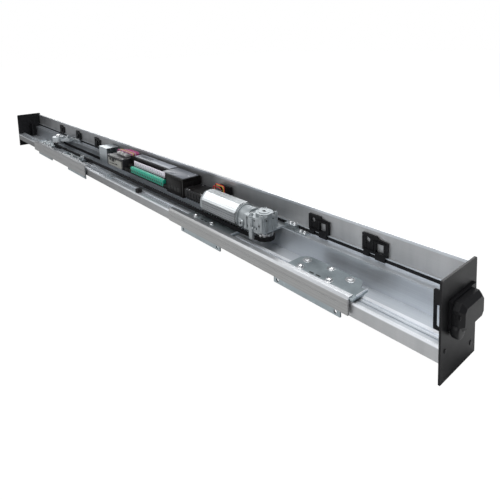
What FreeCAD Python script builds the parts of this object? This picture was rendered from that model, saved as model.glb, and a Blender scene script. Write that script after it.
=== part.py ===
# Sliding door operator for a two-leaf door, laid on its back as it is shown in a showroom.
# Millimetres. +X runs along the header to the end with the side connector, +Z points away
# from the wall, and +Y points up once the operator hangs on the wall over the door.
import FreeCAD, Part
import Sketcher
import math
import os

os.makedirs("parts", exist_ok=True)
doc = FreeCAD.newDocument("sliding_door_operator")
sheet = doc.addObject("Spreadsheet::Sheet", "sizes")


class Size:
    """A number together with the spreadsheet expression that gives it."""

    def __init__(self, value, text):
        self.value = float(value)
        self.text = text

    def __add__(self, other):
        return Size(self.value + number(other), f"({self.text} + {text(other)})")

    def __radd__(self, other):
        return Size(number(other) + self.value, f"({text(other)} + {self.text})")

    def __sub__(self, other):
        return Size(self.value - number(other), f"({self.text} - {text(other)})")

    def __rsub__(self, other):
        return Size(number(other) - self.value, f"({text(other)} - {self.text})")

    def __mul__(self, other):
        return Size(self.value * number(other), f"({self.text} * {text(other)})")

    def __rmul__(self, other):
        return Size(number(other) * self.value, f"({text(other)} * {self.text})")

    def __truediv__(self, other):
        return Size(self.value / number(other), f"({self.text} / {text(other)})")

    def __neg__(self):
        return Size(-self.value, f"(0 - {self.text})")


def number(value):
    return value.value if isinstance(value, Size) else float(value)


def text(value):
    return value.text if isinstance(value, Size) else repr(float(value))


def size(alias, value, meaning):
    """One driving dimension: a row of the spreadsheet, with its meaning beside it."""
    size.row += 1
    sheet.set(f"A{size.row}", meaning)
    sheet.set(f"B{size.row}", str(value))
    sheet.setAlias(f"B{size.row}", alias)
    return Size(value, f"sizes.{alias}")


size.row = 0

# Header extrusion, seen in section: y is up on the wall, z is out from it
header_length = size("header_length", 2144, "length of the extrusion")
front_depth = size("front_depth", 52.5, "rail front face, below the middle plane")
wall_back = size("wall_back", 51.5, "outer face of the long upper wall")
wall_thick = size("wall_thick", 3, "wall thickness of the extrusion")
wall_top = size("wall_top", 142, "reach of the upper wall out from the building wall")
rim_width = size("rim_width", 6, "thickness of the bead along the wall's edge")
rim_height = size("rim_height", 5, "height of the bead along the wall's edge")
ledge_height = size("ledge_height", 84, "mounting ledge that carries the drive")
ledge_front = size("ledge_front", 29, "front edge of the mounting ledge")
floor_height = size("floor_height", 40, "floor of the roller channel")
chamber_front = size("chamber_front", -12, "front face of the hollow rear chamber")
rail_bottom = size("rail_bottom", 32, "underside of the rail box")
shelf_height = size("shelf_height", 57.5, "shelf on top of the rail box")
rib_height = size("rib_height", 60, "top of the running rib")
rib_front = size("rib_front", -33, "front face of the running rib")
rib_back = size("rib_back", -26, "back face of the running rib")
bead_radius = size("bead_radius", 3, "round bead that the rollers run on")
bead_height = size("bead_height", 52, "middle of the running bead")
groove_width = size("groove_width", 3, "groove along the shelf")
groove_depth = size("groove_depth", 2.5, "depth of the groove along the shelf")
groove_place = size("groove_place", -41.5, "middle of the groove along the shelf")
hole_spacing = size("hole_spacing", 600, "wall fixing holes along the header")
hole_line = size("hole_line", 8, "wall fixing holes, above the middle plane")
hole_radius = size("hole_radius", 4.5, "radius of a wall fixing hole")
lip_reach = size("lip_reach", 3.5, "reach of the two lips that hold the seal")
lip_thick = size("lip_thick", 2.5, "thickness of the upper seal lip")
seal_height = size("seal_height", 6.5, "width of the black seal between the lips")
ledge_gap = size("ledge_gap", 1.5, "gap between the lips and what stands on the ledge")
box_back = wall_back - wall_thick - lip_reach - ledge_gap
box_seat = ledge_front + 2
lower_lip = size("lower_lip", 3.5, "height of the lower seal lip over the ledge")

# End caps and what they carry
cap_thick = size("cap_thick", 3, "end cap plate")
cap_depth = size("cap_depth", 105, "end cap, front to back")
cap_height = size("cap_height", 150, "end cap, out from the wall")
cap_corner = size("cap_corner", 4, "corner radius of the end cap")
lug_length = size("lug_length", 36, "cap bracket along the header")
lug_thick = size("lug_thick", 3, "cap bracket plate")
lug_place = size("lug_place", 1, "front face of the cap bracket")
lug_top = size("lug_top", 104, "top of the cap bracket")
lug_slot_width = size("lug_slot_width", 6, "slot in the cap bracket")
lug_slot_height = size("lug_slot_height", 35, "slot in the cap bracket")
plug_reach = size("plug_reach", 15, "side connector, out from its base")
plug_width = size("plug_width", 70, "side connector, front to back")
plug_height = size("plug_height", 42, "side connector, its height")
plug_place = size("plug_place", 5, "side connector, its middle front to back")
plug_level = size("plug_level", 91, "side connector, its middle height")
plug_bevel = size("plug_bevel", 9, "bevel round the side connector")
plug_base = size("plug_base", 4, "thickness of the connector's base")

# Door leaves: the mirror plane of the two leaves and the places of one leaf's pieces
leaf_mirror = size("leaf_mirror", 81, "plane about which the two leaves mirror")
right_bar_start = size("right_bar_start", 296, "right hanger bar's inner end from the mirror plane")
right_bar_length = size("right_bar_length", 550, "length of the right hanger bar")
left_bar_start = size("left_bar_start", 270, "left hanger bar's inner end from the mirror plane")
left_bar_length = size("left_bar_length", 596, "length of the left hanger bar")
right_bar_bottom = size("right_bar_bottom", 36, "lower edge of the right hanger bar's face")
left_bar_bottom = size("left_bar_bottom", 29, "lower edge of the left hanger bar's face")
bar_face = size("bar_face", 3.5, "thickness of the hanger bar's face")
bar_flange = size("bar_flange", 2, "thickness of the hanger bar's flange")
bar_reach = size("bar_reach", 14, "width of the hanger bar's flange")
bar_chamfer = size("bar_chamfer", 4, "bevel along the hanger bar's outer corner")
bar_ridge = size("bar_ridge", 0.8, "ridge along the hanger bar's face")
plate_thick = size("plate_thick", 3, "carriage plate")
plate_level = size("plate_level", 61.5, "underside of the carriage plate")
plate_length = size("plate_length", 134, "carriage plate along the header")
plate_back = size("plate_back", 5, "rear edge of the carriage plate")
plate_corner = size("plate_corner", 20, "rounded rear corners of the carriage plate")
inner_carriage = size("inner_carriage", 424, "inner carriage from the mirror plane")
outer_carriage = size("outer_carriage", 764, "outer carriage from the mirror plane")
hanger_gap = size("hanger_gap", 1, "gap between the rail front and the hanger leg")
right_tab_bottom = size("right_tab_bottom", 23, "lower edge of the right hanger tabs")
right_tab_length = size("right_tab_length", 156, "right hanger tabs along the header")
left_tab_bottom = size("left_tab_bottom", 18, "lower edge of the left hanger tabs")
left_tab_length = size("left_tab_length", 176, "left hanger tabs along the header")
right_inner_tab = size("right_inner_tab", 424.5, "right inner hanger tab from the mirror plane")
right_outer_tab = size("right_outer_tab", 750, "right outer hanger tab from the mirror plane")
left_inner_tab = size("left_inner_tab", 363, "left inner hanger tab from the mirror plane")
left_outer_tab = size("left_outer_tab", 728, "left outer hanger tab from the mirror plane")
tab_hole = size("tab_hole", 6.5, "leaf fixing hole in the hanger tab")
tab_hole_inset = size("tab_hole_inset", 10, "leaf fixing hole from the tab's end")
closing_travel = size("closing_travel", 160, "how far a leaf can close from this pose")
stop_gap = size("stop_gap", 2, "gap left to the stop once the leaf is closed")
buffer_length = size("buffer_length", 14, "rubber buffer along the header")
buffer_width = size("buffer_width", 14, "rubber buffer, front to back")
buffer_front = size("buffer_front", -50, "front face of the buffer and of the closing stop")
buffer_top = size("buffer_top", 68, "top of the buffer and of the closing stop")
inner_stop = size("inner_stop", 105, "turned-up end of an inner carriage from its middle")
outer_stop = size("outer_stop", 89, "turned-up end of an outer carriage from its middle")
buffer_place = size("buffer_place", 190, "contact face of the rubber buffer along the header")
stop_thick = size("stop_thick", 2, "thickness of the turned-up end")
stop_top = size("stop_top", 67.5, "top of the turned-up end")
stop_front = size("stop_front", -45.5, "front edge of the turned-up end")
stop_back = size("stop_back", -16, "rear edge of the turned-up end")
bolt_head = size("bolt_head", 3.2, "height of a carriage bolt's head")
bolt_radius = size("bolt_radius", 3, "hole for a carriage bolt")
axle_head = size("axle_head", 2.2, "height of an axle's head")
axle_collar = size("axle_collar", 7.5, "radius of an axle's collars")
collar_thick = size("collar_thick", 2.5, "thickness of an axle's lower collar")

# Rollers
roller_radius = size("roller_radius", 16, "outer radius of a roller")
roller_groove = size("roller_groove", 3, "depth of the roller's groove")
roller_width = size("roller_width", 12, "width of a roller")
roller_spread = size("roller_spread", 49, "roller from the middle of its carriage")
roller_gap = size("roller_gap", 0.3, "running gap between roller and bead")
roller_bore = size("roller_bore", 5, "radius of the roller's bore")
bore_gap = size("bore_gap", 0.05, "running clearance of a roller on its axle")

# Belt drive
tooth_pitch = size("tooth_pitch", 10, "pitch of the belt teeth")
tooth_height = size("tooth_height", 2.4, "height of a belt tooth")
tooth_tip = size("tooth_tip", 3.4, "belt tooth at its tip")
tooth_root = size("tooth_root", 5.2, "belt tooth at its root")
belt_back = size("belt_back", 1.9, "thickness of the belt's back")
belt_width = size("belt_width", 8.7, "width of the belt")
belt_level = size("belt_level", 68.3, "lower edge of the belt")
belt_line = size("belt_line", -7, "middle of the belt loop, front to back")
belt_gap = size("belt_gap", 0.3, "gap between the pulley's teeth and the belt")
pulley_radius = size("pulley_radius", 18.3, "tip radius of the toothed pulleys")
drive_place = size("drive_place", 676, "drive pulley along the header")
idler_place = size("idler_place", -614, "idler pulley along the header")
pulley_height = size("pulley_height", 14.2, "drive pulley from its lower to its upper face")
shaft_radius = size("shaft_radius", 5, "output shaft and idler axle")
shaft_gap = size("shaft_gap", 0.05, "running clearance of a shaft in its bore")
clamp_jaw = size("clamp_jaw", 3, "belt clamp jaw")
clamp_length = size("clamp_length", 30, "belt clamp along the header")
clamp_gap = size("clamp_gap", 0.4, "gap between the belt clamp and the belt")
right_clamp = size("right_clamp", 404, "right belt clamp from the mirror plane")
left_clamp = size("left_clamp", 368, "left belt clamp from the mirror plane")

# Motor and gearbox
motor_level = size("motor_level", 99.5, "motor axis, out from the wall")
motor_radius = size("motor_radius", 26.5, "half the motor across its flats")
motor_start = size("motor_start", 480, "rear face of the motor")
motor_length = size("motor_length", 130, "length of the motor's body")
motor_flange = size("motor_flange", 6, "motor flange")
flute_depth = size("flute_depth", 0.7, "depth of the grooves along the motor")
gearbox_length = size("gearbox_length", 78, "gearbox along the header")
gearbox_width = size("gearbox_width", 54, "gearbox, front to back")
gearbox_top = size("gearbox_top", 118, "top of the gearbox body")
cover_radius = size("cover_radius", 19, "round gearbox cover")
cover_height = size("cover_height", 7, "height of the round gearbox cover")
bracket_thick = size("bracket_thick", 3, "drive bracket plate")
bracket_front = size("bracket_front", -22, "front edge of the drive bracket")
bracket_tail = size("bracket_tail", 58, "drive bracket beyond the gearbox")
idler_height = size("idler_height", 18, "height of the idler casting")
idler_round = size("idler_round", 23.5, "radius of the idler casting's nose")
idler_arm = size("idler_arm", 62, "idler casting's arm, from the axle along the header")
tension_length = size("tension_length", 46, "tension block along the header")

# Electronics on the ledge
control_start = size("control_start", 30, "controller housing, its far end")
control_length = size("control_length", 342, "controller housing")
control_front = size("control_front", -12, "controller housing, its front face")
control_top = size("control_top", 127, "controller housing, its top")
control_step = size("control_step", 94, "terminal shelf of the controller")
control_ledge = size("control_ledge", 104, "upper shelf of the controller")
control_skirt = size("control_skirt", 78.5, "lower edge of the full-height block")
control_block = size("control_block", 84, "full-height block of the controller")
supply_start = size("supply_start", -92, "power supply, its far end")
supply_length = size("supply_length", 114, "power supply")
supply_top = size("supply_top", 116, "power supply, its top")
supply_front = size("supply_front", -14, "power supply, its front face")
bracket_width = size("bracket_width", 64, "supply bracket along the header")
bracket_roof = size("bracket_roof", 125, "top of the supply bracket")
bracket_front_face = size("bracket_front_face", 1, "front sheet of the supply bracket")
filter_length = size("filter_length", 85, "line filter along the header")
filter_top = size("filter_top", 105, "top of the line filter")


class Solid:
    """A finished sub-part: its label, and the object that holds its shape."""

    made = []

    def __init__(self, label, target):
        target.Label = label
        Solid.made.append(target)


def bind(target, prop, value):
    if isinstance(value, Size):
        target.setExpression(prop, value.text)
    else:
        target.setExpression(prop, repr(float(value)))


def place(target, x, y, z):
    bind(target, ".Placement.Base.x", x)
    bind(target, ".Placement.Base.y", y)
    bind(target, ".Placement.Base.z", z)
    return target


def box(x0, x1, y0, y1, z0, z1):
    block = doc.addObject("Part::Box", "block")
    for prop, low, high in (("Length", x0, x1), ("Width", y0, y1), ("Height", z0, z1)):
        block.setExpression(prop, f"{text(high)} - {text(low)}")
    return place(block, x0, y0, z0)


TURNS = {
    "x": FreeCAD.Rotation(FreeCAD.Vector(0, 1, 0), 90),
    "y": FreeCAD.Rotation(FreeCAD.Vector(1, 0, 0), -90),
    "z": FreeCAD.Rotation(),
}


def rod(axis, x, y, z, radius, length, top_radius=None):
    """A cylinder, or a cone, from x, y, z along the positive axis."""
    kind = "Part::Cylinder" if top_radius is None else "Part::Cone"
    pin = doc.addObject(kind, "pin")
    if top_radius is None:
        bind(pin, "Radius", radius)
    else:
        bind(pin, "Radius1", radius)
        bind(pin, "Radius2", top_radius)
    bind(pin, "Height", length)
    pin.Placement = FreeCAD.Placement(FreeCAD.Vector(), TURNS[axis])
    return place(pin, x, y, z)


def hexagon(x, y, z, width, height):
    """A hexagon head across its corners' circle, standing at x, y, z."""
    prism = doc.addObject("Part::Prism", "hexagon")
    prism.Polygon = 6
    bind(prism, "Circumradius", width)
    bind(prism, "Height", height)
    return place(prism, x, y, z)


def cut(base, *tools):
    result = doc.addObject("Part::Cut", "cut")
    result.Base = base
    result.Tool = tools[0] if len(tools) == 1 else fuse(*tools)
    return result


def fuse(*pieces):
    result = doc.addObject("Part::MultiFuse", "joined")
    result.Shapes = list(pieces)
    result.Refine = True
    return result


def group(*pieces):
    result = doc.addObject("Part::Compound", "pieces")
    result.Links = list(pieces)
    return result


def origin_plane(body, role):
    return next(item for item in body.Origin.OriginFeatures if item.Role == role)


def draw(body, role, offset, loops):
    """A sketch parallel to an origin plane, with every corner and circle dimensioned."""
    sketch = body.newObject("Sketcher::SketchObject", "section")
    sketch.AttachmentSupport = [(origin_plane(body, role), "")]
    sketch.MapMode = "FlatFace"
    bind(sketch, "AttachmentOffset.Base.z", offset)
    for loop in loops:
        if isinstance(loop, dict):
            draw_circle(sketch, **loop)
        else:
            draw_polygon(sketch, loop)
    return sketch


def dimension(sketch, kind, geometry, point, value):
    index = sketch.addConstraint(Sketcher.Constraint(kind, -1, 1, geometry, point, number(value)))
    sketch.setExpression(f"Constraints[{index}]", text(value))


def draw_polygon(sketch, points):
    corners = [FreeCAD.Vector(number(u), number(v), 0) for u, v in points]
    first = sketch.GeometryCount
    count = len(corners)
    for index in range(count):
        line = Part.LineSegment(corners[index], corners[(index + 1) % count])
        sketch.addGeometry(line, False)
    for index in range(count):
        after = first + (index + 1) % count
        sketch.addConstraint(Sketcher.Constraint("Coincident", first + index, 2, after, 1))
    for index, (u, v) in enumerate(points):
        dimension(sketch, "DistanceX", first + index, 1, u)
        dimension(sketch, "DistanceY", first + index, 1, v)


def draw_circle(sketch, u, v, radius):
    centre = FreeCAD.Vector(number(u), number(v), 0)
    circle = Part.Circle(centre, FreeCAD.Vector(0, 0, 1), number(radius))
    index = sketch.addGeometry(circle, False)
    dimension(sketch, "DistanceX", index, 3, u)
    dimension(sketch, "DistanceY", index, 3, v)
    rule = sketch.addConstraint(Sketcher.Constraint("Radius", index, number(radius)))
    sketch.setExpression(f"Constraints[{rule}]", text(radius))


def new_body():
    return doc.addObject("PartDesign::Body", "body")


def pad(body, role, start, end, *loops):
    """Add material between two parallel planes."""
    offset = -end if role == "XZ_Plane" else start
    feature = body.newObject("PartDesign::Pad", "pad")
    feature.Profile = draw(body, role, offset, loops)
    feature.setExpression("Length", f"{text(end)} - {text(start)}")
    feature.Profile[0].Visibility = False
    return feature


def pocket(body, role, start, end, *loops):
    """Remove material between two parallel planes."""
    offset = -start if role == "XZ_Plane" else end
    feature = body.newObject("PartDesign::Pocket", "pocket")
    feature.Profile = draw(body, role, offset, loops)
    feature.setExpression("Length", f"{text(end)} - {text(start)}")
    return feature


def edges_along(shape, direction, test):
    """Names of the straight edges along a direction whose middle passes a test."""
    names = []
    for index, edge in enumerate(shape.Edges, 1):
        if not isinstance(edge.Curve, Part.Line) or edge.Length < 1e-6:
            continue
        if abs(edge.tangentAt(edge.FirstParameter).dot(direction)) < 0.999:
            continue
        if test(edge.CenterOfMass):
            names.append(f"Edge{index}")
    return names


def soften(body, kind, amount, direction, test):
    """Round or bevel the edges of a body that lie along a direction."""
    doc.recompute()
    base = body.Tip
    feature = body.newObject(f"PartDesign::{kind}", kind.lower())
    feature.Base = (base, edges_along(base.Shape, direction, test))
    bind(feature, "Radius" if kind == "Fillet" else "Size", amount)
    return feature


X_AXIS = FreeCAD.Vector(1, 0, 0)
Y_AXIS = FreeCAD.Vector(0, 1, 0)
Z_AXIS = FreeCAD.Vector(0, 0, 1)
half_length = header_length / 2


def header():
    wall_front = wall_back - wall_thick
    lip_front = wall_front - lip_reach
    seal_low = ledge_height + lower_lip
    seal_top = seal_low + seal_height
    groove_low = groove_place - groove_width / 2
    groove_high = groove_place + groove_width / 2
    outline = [
        (wall_back, 0), (wall_back, wall_top), (wall_back - rim_width, wall_top),
        (wall_back - rim_width, wall_top - rim_height), (wall_front, wall_top - rim_height),
        (wall_front, seal_top + lip_thick), (lip_front, seal_top + lip_thick),
        (lip_front, seal_top), (wall_front, seal_top), (wall_front, seal_low),
        (lip_front, seal_low), (lip_front, ledge_height), (ledge_front, ledge_height),
        (ledge_front, floor_height), (rib_back, floor_height), (rib_back, rib_height),
        (rib_front, rib_height), (rib_front, shelf_height), (groove_high, shelf_height),
        (groove_high, shelf_height - groove_depth), (groove_low, shelf_height - groove_depth),
        (groove_low, shelf_height), (-front_depth, shelf_height), (-front_depth, rail_bottom),
        (chamber_front, rail_bottom), (chamber_front, 0),
    ]
    rail_hollow = [
        (-front_depth + wall_thick, rail_bottom + wall_thick),
        (rib_back - wall_thick, rail_bottom + wall_thick),
        (rib_back - wall_thick, shelf_height - groove_depth - wall_thick),
        (-front_depth + wall_thick, shelf_height - groove_depth - wall_thick),
    ]
    chamber = [
        (chamber_front + wall_thick, wall_thick), (wall_front, wall_thick),
        (wall_front, ledge_height - wall_thick),
        (ledge_front + wall_thick, ledge_height - wall_thick),
        (ledge_front + wall_thick, floor_height - wall_thick),
        (chamber_front + wall_thick, floor_height - wall_thick),
    ]
    body = new_body()
    pad(body, "YZ_Plane", -half_length, half_length, outline, rail_hollow, chamber)
    bead = {"u": rib_back, "v": bead_height, "radius": bead_radius}
    pad(body, "YZ_Plane", -half_length, half_length, bead)
    wall_holes = [
        {"u": hole_spacing * step, "v": hole_line, "radius": hole_radius}
        for step in (-1.5, -0.5, 0.5, 1.5)
    ]
    pocket(body, "XY_Plane", 0, floor_height, *wall_holes)
    Solid("header_profile", body)


def seal():
    low = ledge_height + lower_lip
    front = wall_back - wall_thick - lip_reach
    strip = box(-half_length, half_length, front, wall_back - wall_thick, low, low + seal_height)
    Solid("seal_strip", strip)


def end_cap(label, side):
    near = half_length if side > 0 else -half_length - cap_thick
    body = new_body()
    sheet_outline = [
        (-cap_depth / 2, 0), (cap_depth / 2, 0),
        (cap_depth / 2, cap_height), (-cap_depth / 2, cap_height),
    ]
    pad(body, "YZ_Plane", near, near + cap_thick, sheet_outline)
    soften(body, "Fillet", cap_corner, X_AXIS, lambda middle: middle.z > 1)
    Solid(label, body)


def cap_brackets():
    pieces = []
    for side in (1, -1):
        foot = half_length * side
        tip = foot - lug_length * side
        low, high = (tip, foot) if side > 0 else (foot, tip)
        body = new_body()
        corners = [(low, floor_height), (high, floor_height), (high, lug_top), (low, lug_top)]
        pad(body, "XZ_Plane", lug_place, lug_place + lug_thick, corners)
        slot = tip + 4.5 * side
        slot_end = slot + lug_slot_width * side
        left, right = (slot, slot_end) if side > 0 else (slot_end, slot)
        bottom = floor_height + 5.5
        hole = [(left, bottom), (right, bottom), (right, bottom + lug_slot_height),
                (left, bottom + lug_slot_height)]
        pocket(body, "XZ_Plane", lug_place, lug_place + lug_thick, hole)
        soften(body, "Fillet", 2.5, Y_AXIS, lambda middle: True)
        inner = foot - lug_thick * side
        start, end = (inner, foot) if side > 0 else (foot, inner)
        foot_plate = [(lug_place, floor_height), (ledge_front - 0.5, floor_height),
                      (ledge_front - 0.5, lug_top - 9), (lug_place, lug_top - 9)]
        pad(body, "YZ_Plane", start, end, foot_plate)
        pieces.append(body)
    Solid("cap_brackets", group(*pieces))


def side_connector():
    face = half_length + cap_thick
    shoe = new_body()
    half = plug_width / 2 + 3
    low = plug_level - plug_height / 2 - 6
    high = plug_level + plug_height / 2 + 3
    sole = [(plug_place - half, low + 8), (plug_place - half + 8, low), (plug_place + half, low),
            (plug_place + half, high), (plug_place - half, high)]
    pad(shoe, "YZ_Plane", face, face + plug_base, sole)
    Solid("connector_base", shoe)
    body = new_body()
    start = face + plug_base
    half = plug_width / 2
    low = plug_level - plug_height / 2
    high = plug_level + plug_height / 2
    shell = [
        (plug_place - half, low + plug_bevel), (plug_place - half + plug_bevel, low),
        (plug_place + half - plug_bevel, low), (plug_place + half, low + plug_bevel),
        (plug_place + half, high - plug_bevel), (plug_place + half - plug_bevel, high),
        (plug_place - half + plug_bevel, high), (plug_place - half, high - plug_bevel),
    ]
    pad(body, "YZ_Plane", start, start + plug_reach, shell)
    doc.recompute()
    base = body.Tip
    outer = number(start + plug_reach)
    names = []
    for index, edge in enumerate(base.Shape.Edges, 1):
        if abs(edge.CenterOfMass.x - outer) < 0.01:
            names.append(f"Edge{index}")
    bevel = body.newObject("PartDesign::Chamfer", "bevel")
    bevel.Base = (base, names)
    bind(bevel, "Size", plug_bevel * 0.7)
    Solid("side_connector", body)


CLIP_PLACES = [777, 905, -724, -523, -325]


def cover_clips():
    front = wall_back - wall_thick - lip_reach
    foot_low = ledge_height + lower_lip
    clips = []
    for middle in CLIP_PLACES:
        body = new_body()
        low = foot_low + seal_height + lip_thick + 0.2
        outline = [
            (middle - 26, low), (middle + 26, low), (middle + 26, 122), (middle + 8, 124),
            (middle + 4, 128), (middle - 26, 128),
        ]
        back = wall_back - wall_thick
        pad(body, "XZ_Plane", back - 4, back, outline)
        raised = [(middle, low + 1), (middle + 26, low + 1), (middle + 26, 121), (middle, 121)]
        pad(body, "XZ_Plane", back - 6, back - 4, raised)
        window = [(middle + 3, low + 4), (middle + 19, low + 4), (middle + 19, 118),
                  (middle + 3, 118)]
        pocket(body, "XZ_Plane", back - 6, back, window)
        eye = {"u": Size(middle - 14, repr(float(middle - 14))), "v": 118, "radius": 5}
        pocket(body, "XZ_Plane", back - 4, back, eye)
        toe = [(middle - 22, foot_low + 1), (middle - 10, foot_low + 1), (middle - 10, low + 4),
               (middle - 22, low + 4)]
        heel = [(middle + 2, foot_low), (middle + 22, foot_low), (middle + 22, low + 4),
                (middle + 2, low + 4)]
        pad(body, "XZ_Plane", front - 3, front - 0.2, toe)
        pad(body, "XZ_Plane", front - 3, front - 0.2, heel)
        tie = [(middle - 22, low), (middle + 22, low), (middle + 22, low + 4),
               (middle - 22, low + 4)]
        pad(body, "XZ_Plane", front - 3, back - 4, tie)
        clips.append(body)
    Solid("cover_clips", group(*clips))


def draw_slot(sketch, start, end, radius):
    """A closed loop of two parallel lines and two half circles about the X axis."""
    first = sketch.GeometryCount
    r = number(radius)
    ends = [(number(start), math.pi / 2, 3 * math.pi / 2), (number(end), -math.pi / 2, math.pi / 2)]
    for x, low, high in ends:
        circle = Part.Circle(FreeCAD.Vector(x, 0, 0), FreeCAD.Vector(0, 0, 1), r)
        sketch.addGeometry(Part.ArcOfCircle(circle, low, high), False)
    for y in (r, -r):
        line = Part.LineSegment(FreeCAD.Vector(ends[0][0], y, 0), FreeCAD.Vector(ends[1][0], y, 0))
        sketch.addGeometry(line, False)
    joints = [(0, 1, 2, 1), (0, 2, 3, 1), (1, 2, 2, 2), (1, 1, 3, 2)]
    for arc, arc_end, line, line_end in joints:
        rule = Sketcher.Constraint("Tangent", first + arc, arc_end, first + line, line_end)
        sketch.addConstraint(rule)
    for arc, place_x in ((0, start), (1, end)):
        dimension(sketch, "DistanceX", first + arc, 3, place_x)
        sketch.addConstraint(Sketcher.Constraint("PointOnObject", first + arc, 3, -1))
    rule = sketch.addConstraint(Sketcher.Constraint("Radius", first, r))
    sketch.setExpression(f"Constraints[{rule}]", text(radius))


def hanger_bar(label, span, near, length, bar_bottom):
    outer = -(front_depth + hanger_gap + plate_thick + bar_face)
    inner = outer + bar_face
    low = plate_level + plate_thick
    top = low + bar_flange
    middle = (bar_bottom + top) / 2
    outline = [
        (outer, bar_bottom), (inner, bar_bottom), (inner, low), (outer + bar_reach, low),
        (outer + bar_reach, top), (outer + bar_chamfer, top), (outer, top - bar_chamfer),
        (outer, middle + 1), (outer - bar_ridge, middle), (outer, middle - 1),
    ]
    body = new_body()
    start, end = span(near, near + length)
    pad(body, "YZ_Plane", start, end, outline)
    Solid(label, body)


def carriage(label, along, span, centre, stop, tab, tab_length, tab_bottom):
    """Carriage plate with its hanger tab in front and its turned-up end."""
    leg_outer = -(front_depth + hanger_gap + plate_thick)
    leg_inner = leg_outer + plate_thick
    top = plate_level + plate_thick
    half = plate_length / 2
    tip = centre + stop
    outline = [
        (along(centre - half), leg_outer), (along(tip), leg_outer), (along(tip), stop_back),
        (along(tip - 14), stop_back), (along(centre + half), plate_back),
        (along(centre - half), plate_back),
    ]
    body = new_body()
    pad(body, "XY_Plane", plate_level, top, outline)
    rear = number(plate_back) - 0.5
    soften(body, "Fillet", plate_corner, Z_AXIS, lambda middle: middle.y > rear)
    holes = [
        {"u": along(centre + roller_spread * way), "v": roller_line, "radius": roller_bore}
        for way in (-1, 1)
    ]
    holes += [
        {"u": along(centre + shift), "v": depth, "radius": bolt_radius}
        for shift, depth in BOLT_PLACES
    ]
    pocket(body, "XY_Plane", plate_level, top, *holes)
    slots = [
        [(along(centre + shift), -40), (along(centre + shift + 10), -40),
         (along(centre + shift + 10), -36.5), (along(centre + shift), -36.5)]
        for shift in (-18, -3)
    ]
    pocket(body, "XY_Plane", plate_level, top, *slots)
    left, right = span(tab - tab_length / 2, tab + tab_length / 2)
    leg = [(left, tab_bottom), (right, tab_bottom), (right, top), (left, top)]
    pad(body, "XZ_Plane", leg_outer, leg_inner, leg)
    reach = tab_length / 2 - tab_hole_inset
    eyes = [
        {"u": along(tab + reach * way), "v": tab_bottom + tab_hole, "radius": tab_hole / 2}
        for way in (-1, 1)
    ]
    pocket(body, "XZ_Plane", leg_outer, leg_inner, *eyes)
    left, right = span(tip - stop_thick, tip)
    ear = [(stop_front, plate_level), (stop_back, plate_level), (stop_back, stop_top),
           (stop_front, stop_top)]
    pad(body, "YZ_Plane", left, right, ear)
    Solid(label, body)


BOLT_PLACES = [(-40, -38), (26, -38), (3, -4)]
roller_line = rib_back + roller_radius + roller_gap
roller_level = bead_height - roller_width / 2


def carriage_bolts(label, along, centres):
    bolts = []
    top = plate_level + plate_thick
    for centre in centres:
        for shift, depth in BOLT_PLACES:
            x = along(centre + shift)
            shank = rod("z", x, depth, plate_level + 0.2, bolt_radius - bore_gap, plate_thick)
            head = hexagon(x, depth, top, 5.5, bolt_head)
            bolts.append(fuse(shank, head))
    Solid(label, group(*bolts))


def roller_axles(label, along, centres):
    axles = []
    top = plate_level + plate_thick
    low = roller_level - roller_gap - collar_thick
    for centre in centres:
        for way in (-1, 1):
            x = along(centre + roller_spread * way)
            pin = rod("z", x, roller_line, low, roller_bore - bore_gap, top - low)
            collar = hexagon(x, roller_line, low, axle_collar, collar_thick)
            spacer_low = roller_level + roller_width + roller_gap
            spacer = hexagon(x, roller_line, spacer_low, axle_collar, plate_level - spacer_low)
            head = hexagon(x, roller_line, top, 7.5, axle_head)
            axles.append(fuse(pin, collar, spacer, head))
    Solid(label, group(*axles))


def roller(label, x):
    """A roller whose V-groove clears the round bead of the rail by the running gap."""
    offset = bead_radius + roller_gap
    neck = roller_radius - roller_groove
    slope = math.sqrt(0.5)
    flat = offset * (2 * slope) - offset
    mouth = flat + roller_groove
    y = roller_line
    flange = roller_width / 2 - mouth
    lower = rod("z", x, y, roller_level, roller_radius, flange)
    lower_cone = rod("z", x, y, roller_level + flange, roller_radius, roller_groove, neck)
    middle = rod("z", x, y, bead_height - flat, neck, 2 * flat)
    upper_cone = rod("z", x, y, bead_height + flat, neck, roller_groove, roller_radius)
    upper = rod("z", x, y, bead_height + mouth, roller_radius, flange)
    bore = rod("z", x, y, roller_level - 1, roller_bore, roller_width + 2)
    Solid(label, cut(fuse(lower, lower_cone, middle, upper_cone, upper), bore))


def belt_clamp(label, x, outward, foot):
    """Clamp open at the top: one jaw on each side of the belt, and a foot on the carriage."""
    back = (pulley_radius + belt_gap + belt_back) * outward + belt_line
    teeth = (pulley_radius + belt_gap - tooth_height) * outward + belt_line
    outer_face = back + clamp_gap * outward
    outer_end = outer_face + clamp_jaw * outward
    inner_face = teeth - clamp_gap * outward
    inner_end = inner_face - clamp_jaw * outward
    low = plate_level + plate_thick
    top = belt_level - clamp_gap
    start = x - clamp_length / 2
    end = x + clamp_length / 2
    rows = [(outer_face, outer_end, belt_width + 0.5), (inner_face, inner_end, 4.6)]
    pieces = []
    for face, side, height in rows:
        near, far = (face, side) if number(face) < number(side) else (side, face)
        pieces.append(box(start, end, near, far, low, top + height))
    near, far = (outer_end, foot) if number(outer_end) < number(foot) else (foot, outer_end)
    pieces.append(box(start, end, near, far, low, top))
    Solid(label, fuse(*pieces))


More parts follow.
